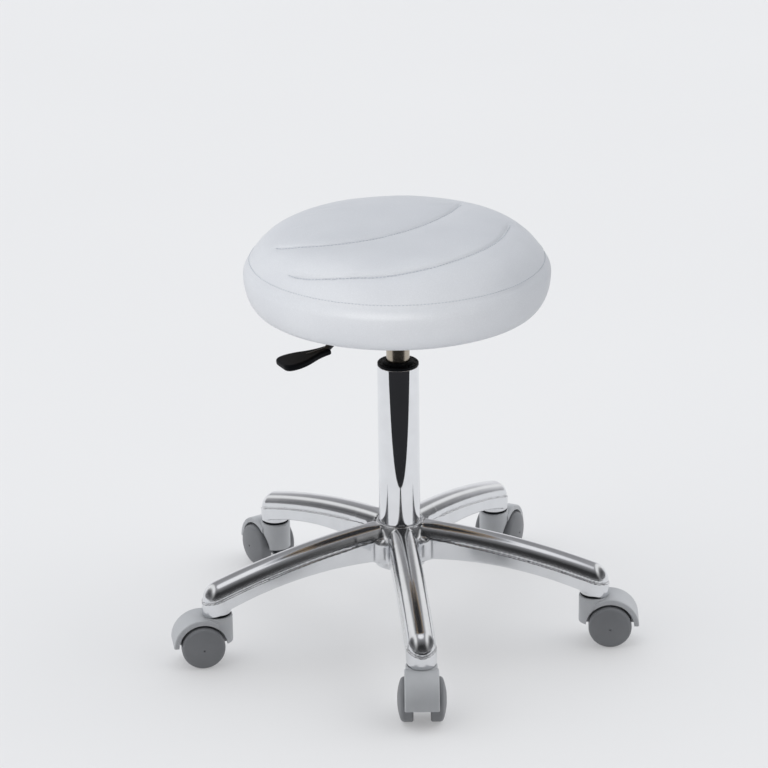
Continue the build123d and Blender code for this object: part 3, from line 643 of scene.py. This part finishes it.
def arm_distance(u, v, z):
    """Distances to one arm and to the hollow in it: u runs out along the arm and v across it."""
    cx, cz, radius = circle_through(CREASE)
    ux, uz, under_r = circle_through(UNDERSIDE)
    beyond = np.maximum(u - TIP_R, 0)
    side = np.hypot(beyond, v)
    from_arch = np.hypot(u - cx, z - cz) - radius
    tip_z = cz + (radius**2 - (TIP_R - cx) ** 2) ** 0.5
    turn = np.arctan2(np.abs(v), beyond + 1e-6)
    dip = V_DROP * np.clip(1 - turn / (pi / 2), 0, 1) * np.clip(beyond / V_RUN, 0, 1)
    over = np.where(u > TIP_R, z - tip_z + dip, from_arch)
    below = -(np.hypot(u - ux, z - uz) - under_r)
    wall = cut(side - ARM_HALF, np.maximum(over, below), WALL_EDGE)
    boss = cut(np.hypot(u - TIP_R, v) - ARM_HALF, np.maximum(over, TIP_LOW - z), BOSS_EDGE)
    rise = np.where(u > TIP_R, np.maximum(from_arch, 0), from_arch)
    bead = np.hypot(np.hypot(rise, beyond), v) - BEAD
    ridge = np.maximum(bead, np.where(u > TIP_R, tip_z - NOSE_DEPTH - z, -from_arch - BEAD_UNDER))
    arm = join(join(wall, boss, BOSS_FILLET), ridge, BEAD_FILLET)
    groove_r = GROOVE_R * np.clip((u - ROOT_END) / GROOVE_RUN, -1, 1)
    groove = np.hypot(side - BEAD - GROOVE_OUT, over) - groove_r
    arm = cut(arm, -groove, GROOVE_EDGE)
    root = slot_box(v, z, ARM_HALF - ROOT_INSET, ROOT_LOW, ROOT_TOP, ROOT_ROUND)
    root = cut(root, u - ROOT_END, ROOT_EDGE)
    arm = np.where(u > ARM_START, join(arm, root, ROOT_FILLET), root)
    arm = np.where(u < 0, np.maximum(arm, -u), arm)
    channel = slot_box(v, z, CHANNEL_HALF, 0.0, CHANNEL_TALL, CHANNEL_EDGE)
    channel = np.maximum(channel, from_arch + CHANNEL_SHOULDER)
    roof = slot_box(v, z, CHANNEL_ROOF_HALF, 0.0, CHANNEL_TALL, CHANNEL_EDGE)
    roof = np.maximum(roof, from_arch - CHANNEL_ROOF)
    ends = np.maximum(CHANNEL_START - u, u - (TIP_R - ARM_HALF - CHANNEL_WALL))
    hollow = np.maximum(np.minimum(channel, roof), ends)
    bore = np.maximum(np.hypot(u - TIP_R, v) - SLEEVE_R, z - SLEEVE_TOP)
    return arm, np.minimum(hollow, bore)


def base_distance(p):
    """Distance to the whole casting, at points in millimetres."""
    x, y, z = p[:, 0], p[:, 1], p[:, 2]
    r = np.hypot(x, y)
    step = 2 * pi / ARM_COUNT
    angle = np.arctan2(y, x) + pi / 2
    nearest = (angle + step / 2) % step - step / 2
    solid, hollow = None, None
    for k in (-1, 0, 1):
        a = nearest - k * step
        arm, gap = arm_distance(r * np.cos(a), r * np.sin(a), z)
        solid = arm if solid is None else join(solid, arm, ROOTS_FILLET)
        hollow = gap if hollow is None else np.minimum(hollow, gap)
    core = cut(r - CORE_R, np.maximum(z - CORE_TOP, ROOT_LOW - z), CORE_EDGE)
    solid = join(solid, core, CORE_FILLET)
    neck = cut(r - NECK_R, np.maximum(z - NECK_TOP, HUB_LOW - z), NECK_EDGE)
    boss = cut(r - HUB_BOSS_R, np.maximum(z - HUB_BOSS_TOP, HUB_LOW - z), HUB_BOSS_EDGE)
    solid = join(join(solid, neck, NECK_FILLET), boss, HUB_BOSS_FILLET)
    solid = cut(solid, z - NECK_TOP, TOP_EDGE)
    bore = r - (BORE_R + BORE_TAPER * np.clip((z - HUB_LOW) / BORE_RUN, 0, 1))
    return cut(cut(solid, -hollow, CHANNEL_RIM), -bore, BORE_EDGE)


def slope_of(distance, p, step=0.04):
    """The gradient of a distance by central differences."""
    parts = []
    for axis in range(3):
        d = np.zeros(3)
        d[axis] = step
        parts.append((distance(p + d) - distance(p - d)) / (2 * step))
    return np.stack(parts, 1)


def surface_net(distance, low, high, cell, near):
    """A quad mesh of distance = 0: one point per crossed cell, then moved onto the surface.

    near says which columns of the grid come close enough to the shape to be worked out.
    """
    axes = [np.arange(a, b + cell, cell) for a, b in zip(low, high)]
    shape = tuple(len(a) for a in axes)
    gx, gy = np.meshgrid(axes[0], axes[1], indexing="ij")
    columns = np.argwhere(near(gx, gy))
    values = np.full(shape, FAR, np.float32)
    xy = np.stack([axes[0][columns[:, 0]], axes[1][columns[:, 1]]], 1)
    for k, z in enumerate(axes[2]):
        layer = np.column_stack([xy, np.full(len(xy), z)])
        values[columns[:, 0], columns[:, 1], k] = distance(layer)
    inside = values < 0
    cells = np.zeros(tuple(n - 1 for n in shape), np.uint8)
    corner = [(i, j, k) for i in (0, 1) for j in (0, 1) for k in (0, 1)]
    for i, j, k in corner:
        cells += inside[i:shape[0] - 1 + i, j:shape[1] - 1 + j, k:shape[2] - 1 + k]
    crossed = np.argwhere((cells > 0) & (cells < 8))
    index = np.full(cells.shape, -1, np.int64)
    index[tuple(crossed.T)] = np.arange(len(crossed))
    points = np.array(low) + (crossed + 0.5) * cell
    faces = []
    for axis in range(3):
        b, c = [a for a in range(3) if a != axis]
        first = [slice(None)] * 3
        second = [slice(None)] * 3
        first[axis], second[axis] = slice(0, -1), slice(1, None)
        change = inside[tuple(first)] != inside[tuple(second)]
        for a in (b, c):
            change = np.delete(change, [0, change.shape[a] - 1], axis=a)
        edges = np.argwhere(change)
        edges[:, b] += 1
        edges[:, c] += 1
        quad = []
        for db, dc in ((1, 1), (0, 1), (0, 0), (1, 0)):
            e = edges.copy()
            e[:, b] -= db
            e[:, c] -= dc
            quad.append(index[tuple(e.T)])
        quad = np.stack(quad, 1)
        outward = inside[tuple(edges.T)]
        if axis == 1:
            outward = ~outward
        quad[~outward] = quad[~outward][:, ::-1]
        faces.append(quad)
    faces = np.concatenate(faces)
    for _ in range(SETTLE_STEPS):
        f = distance(points)
        g = slope_of(distance, points)
        move = -f[:, None] * g / np.maximum((g**2).sum(1), 0.05)[:, None]
        length = np.linalg.norm(move, axis=1)
        points += move * np.minimum(1, SETTLE_REACH * cell / np.maximum(length, 1e-9))[:, None]
    return points, faces


def cast_base(mat):
    """The base with flowing blends between hub, roots and arms, instead of the CAD's plain ones."""
    def near(x, y):
        r = np.hypot(x, y)
        step = 2 * pi / ARM_COUNT
        angle = (np.arctan2(y, x) + pi / 2 + step / 2) % step - step / 2
        along_arm = np.abs(r * np.sin(angle)) < ARM_HALF + NEAR_ROOM
        return (along_arm & (r < TIP_R + ARM_HALF + NEAR_ROOM)) | (r < NEAR_HUB)

    reach = TIP_R + ARM_HALF + NET_ROOM
    low, high = (-reach, -reach, TIP_LOW - NET_ROOM_LOW), (reach, reach, NECK_TOP + NET_ROOM_HIGH)
    points, faces = surface_net(base_distance, low, high, CELL, near)
    normals = slope_of(base_distance, points)
    normals /= np.maximum(np.linalg.norm(normals, axis=1), 1e-9)[:, None]
    mesh = bpy.data.meshes.new("cast_base")
    mesh.from_pydata((points / 1000).tolist(), [], faces.tolist())
    mesh.materials.append(mat)
    mesh.shade_smooth()
    mesh.normals_split_custom_set_from_vertices(normals.tolist())
    obj = bpy.data.objects.new("cast_base", mesh)
    scene.collection.objects.link(obj)
    return obj


# ---------------------------------------------------------------- studio


FLOOR_HALF = 60.0
# A dark patch on the floor in front of the stool, seen only in reflections.
DARK_HALF, DARK_NEAR, DARK_FAR, DARK_Z = 2.2, -0.47, -3.2, 0.001
DARK_COLOUR = (0.012, 0.012, 0.014)

# Level of the reflected studio by the upward part of a direction: 0 level, 1 straight up.
HORIZON, ZENITH = (0.86, 0.86, 0.88, 1), (1.0, 1.0, 1.0, 1)
LEVELS = ((0.16, 0.80), (0.32, 0.40), (0.60, 0.27), (0.93, 0.33), (0.965, 0.95))
LEVEL_BLUE = 1.03
# Each range: from low, from high, to low, to high. The first three go by the sideways part of a
# direction, and the others by its part towards the back.
PANELS_START = (0.38, 0.52, 0.0, 0.90)
PANELS_END = (0.66, 0.84, 1.0, 0.20)
SIDES_DARKER = (0.70, 0.90, 1.0, 0.22)
FRONT_DARKER = (-0.80, -0.30, 0.10, 1.0)
FILL_DIMMER = (-0.7, 0.4, 0.22, 1.35)
FILL = (0.80, 0.83, 0.875, 1.0)

# Softboxes as wide suns: name, azimuth, elevation and angular width in degrees, power.
# seat_soft lights only the upholstery, and right_soft everything but the upholstery.
SUNS = (
    ("left_soft", -78.0, 40.0, 70.0, 0.72),
    ("right_soft", 85.0, 36.0, 60.0, 0.75),
    ("top_soft", 170.0, 66.0, 80.0, 0.42),
    ("seat_soft", -18.0, 5.0, 60.0, 3.8),
)
WARM = (1.0, 0.985, 0.955)


def floor():
    """The pale floor, glowing a little so that shadows stay soft, and the dark patch on it."""
    mat, nodes, links, shader = new_material(
        "floor_pale", (0.47, 0.47, 0.473), 0.75, Specular_IOR_Level=0.2,
        Emission_Color=(0.98, 0.98, 0.99, 1), Emission_Strength=0.30)
    haze = texture(nodes, links, "ShaderNodeTexNoise", 1.2, Detail=2.0)
    tone = colour_between(nodes, links, haze.outputs["Fac"],
                          (0.467, 0.467, 0.47), (0.476, 0.476, 0.479))
    links.new(tone, shader.inputs["Base Color"])
    s = FLOOR_HALF
    ground = mesh_object("floor", [(-s, -s, 0), (s, -s, 0), (s, s, 0), (-s, s, 0)], [(0, 1, 2, 3)], mat)
    dark = new_material("dark_room", DARK_COLOUR, 0.9)[0]
    corners = [(-DARK_HALF, DARK_NEAR, DARK_Z), (-DARK_HALF, DARK_FAR, DARK_Z),
               (DARK_HALF, DARK_FAR, DARK_Z), (DARK_HALF, DARK_NEAR, DARK_Z)]
    obj = mesh_object("dark_room", corners, [(0, 1, 2, 3)], dark)
    obj.visible_camera = False
    obj.visible_diffuse = False
    obj.visible_shadow = False
    obj.visible_transmission = False


def studio():
    """The world: a studio with light and dark parts in reflections, and an even fill elsewhere."""
    world = bpy.data.worlds.new("studio")
    world.use_nodes = True
    nodes, links = world.node_tree.nodes, world.node_tree.links
    back = nodes["Background"]
    direction = nodes.new("ShaderNodeTexCoord")
    parts = nodes.new("ShaderNodeSeparateXYZ")
    ramp = nodes.new("ShaderNodeValToRGB")
    links.new(direction.outputs["Generated"], parts.inputs[0])
    links.new(parts.outputs["Z"], ramp.inputs["Fac"])
    stops = ramp.color_ramp.elements
    stops[0].position, stops[0].color = 0.0, HORIZON
    stops[1].position, stops[1].color = 1.0, ZENITH
    for place, level in LEVELS:
        stop = stops.new(place)
        stop.color = (level, level, level * LEVEL_BLUE, 1)

    def ranged(source, values):
        node = nodes.new("ShaderNodeMapRange")
        for socket, value in zip(("From Min", "From Max", "To Min", "To Max"), values):
            node.inputs[socket].default_value = value
        links.new(source, node.inputs["Value"])
        return node.outputs["Result"]

    def mixed(blend, factor, a, b):
        node = nodes.new("ShaderNodeMix")
        node.data_type = "RGBA"
        node.blend_type = blend
        for name, source in (("Factor", factor), ("A", a), ("B", b)):
            socket = [i for i in node.inputs if i.name == name and i.enabled][0]
            if isinstance(source, (float, tuple)):
                socket.default_value = source
            else:
                links.new(source, socket)
        return [o for o in node.outputs if o.enabled][0]

    sideways = nodes.new("ShaderNodeMath")
    sideways.operation = "ABSOLUTE"
    links.new(parts.outputs["X"], sideways.inputs[0])
    across, behind = sideways.outputs[0], parts.outputs["Y"]
    panels = mixed("MULTIPLY", 1.0, ranged(across, PANELS_START), ranged(across, PANELS_END))
    room = mixed("LIGHTEN", 1.0, ramp.outputs["Color"], panels)
    room = mixed("MULTIPLY", 1.0, room, ranged(across, SIDES_DARKER))
    room = mixed("MULTIPLY", 1.0, room, ranged(behind, FRONT_DARKER))
    fill = mixed("MULTIPLY", 1.0, FILL, ranged(behind, FILL_DIMMER))
    seen_by = nodes.new("ShaderNodeLightPath")
    links.new(mixed("MIX", seen_by.outputs["Is Glossy Ray"], fill, room), back.inputs["Color"])
    back.inputs["Strength"].default_value = 1.0
    scene.world = world


def lamps():
    """The suns; two of them have a collection that says what they light."""
    for name, azimuth, elevation, wide, power in SUNS:
        data = bpy.data.lights.new(name, "SUN")
        data.angle = radians(wide)
        data.energy = power
        data.color = WARM
        lamp = bpy.data.objects.new(name, data)
        lamp.visible_glossy = name == "seat_soft"
        a, e = radians(azimuth), radians(elevation)
        towards = Vector((sin(a) * cos(e), -cos(a) * cos(e), sin(e)))
        lamp.rotation_mode = "QUATERNION"
        lamp.rotation_quaternion = towards.to_track_quat("Z", "Y")
        scene.collection.objects.link(lamp)
        if name in ("seat_soft", "right_soft"):
            lamp.light_linking.receiver_collection = bpy.data.collections.new(f"{name}_on")


# ---------------------------------------------------------------- making


def assign(mat, *names):
    """Gives CAD nodes a material in place of their plain one."""
    for name in names:
        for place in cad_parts[name].material_slots:
            place.material = mat


place_camera()
floor()
studio()
lamps()

leather = leatherette()
thread_mat = thread()
aluminium = metal("polished_aluminium", (0.78, 0.79, 0.81), 0.12, 0.19, 0.2, 0.05)
chrome = metal("mirror_chrome", (0.86, 0.87, 0.89), 0.02, 0.04, 0.03, 0.0)
bronzed = metal("bronzed_steel", (0.46, 0.41, 0.34), 0.16, 0.26, 0.05, 0.15)
zinc = metal("zinc_steel", (0.62, 0.63, 0.65), 0.22, 0.38, 0.1, 0.2)
black_metal = plastic("black_lacquer", (0.018, 0.018, 0.02), 0.4, 900, 0.2)
black = plastic("black_nylon", (0.004, 0.005, 0.007), 0.5, 1200, 0.2, 0.12)
rubber = plastic("bumper_rubber", (0.02, 0.02, 0.02), 0.7, 800, 0.4)
hood_grey = plastic("hood_grey", (0.44, 0.45, 0.465), 0.42, 1500, 0.22)
wheel_grey = plastic("wheel_grey", (0.185, 0.19, 0.20), 0.46, 1300, 0.25)
bronze = metal("bronze_race", (0.60, 0.50, 0.30), 0.2, 0.3, 0.1, 0.1)

assign(chrome, "column_tube")
assign(bronzed, "gas_cylinder")
assign(black, "guide_collar", "rod_guide", "lever_handle")
assign(black_metal, "seat_plate", "seat_socket", "lever_rod")
assign(rubber, "rod_bumper")
assign(bronze, "piston")
assign(plywood(), "seat_board")
assign(zinc, "column_foot", "bearing_lower_race", "bearing_balls", "bearing_upper_race", "piston_rod",
       "rod_clip", "valve_pin", "plate_screws", "plate_washers", "tee_nuts", "lever_pin", "hem_staples")
for n in range(1, ARM_COUNT + 1):
    assign(hood_grey, f"caster_{n}_hood")
    assign(wheel_grey, f"caster_{n}_wheel_left", f"caster_{n}_wheel_right")
    assign(zinc, f"caster_{n}_axle", f"caster_{n}_stem")
    assign(black, f"caster_{n}_sleeve")

base = cast_base(aluminium)
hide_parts("star_base")
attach(base, "base")
top, side, threads = upholstery(leather, thread_mat)
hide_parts("cover_top_panel", "seat_foam")
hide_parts("cover_side_band")
for piece in (top, side, *threads):
    for light, state in (("seat_soft", "INCLUDE"), ("right_soft", "EXCLUDE")):
        group = bpy.data.collections[f"{light}_on"]
        group.objects.link(piece)
        group.collection_objects[-1].light_linking.link_state = state
    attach(piece, "seat")
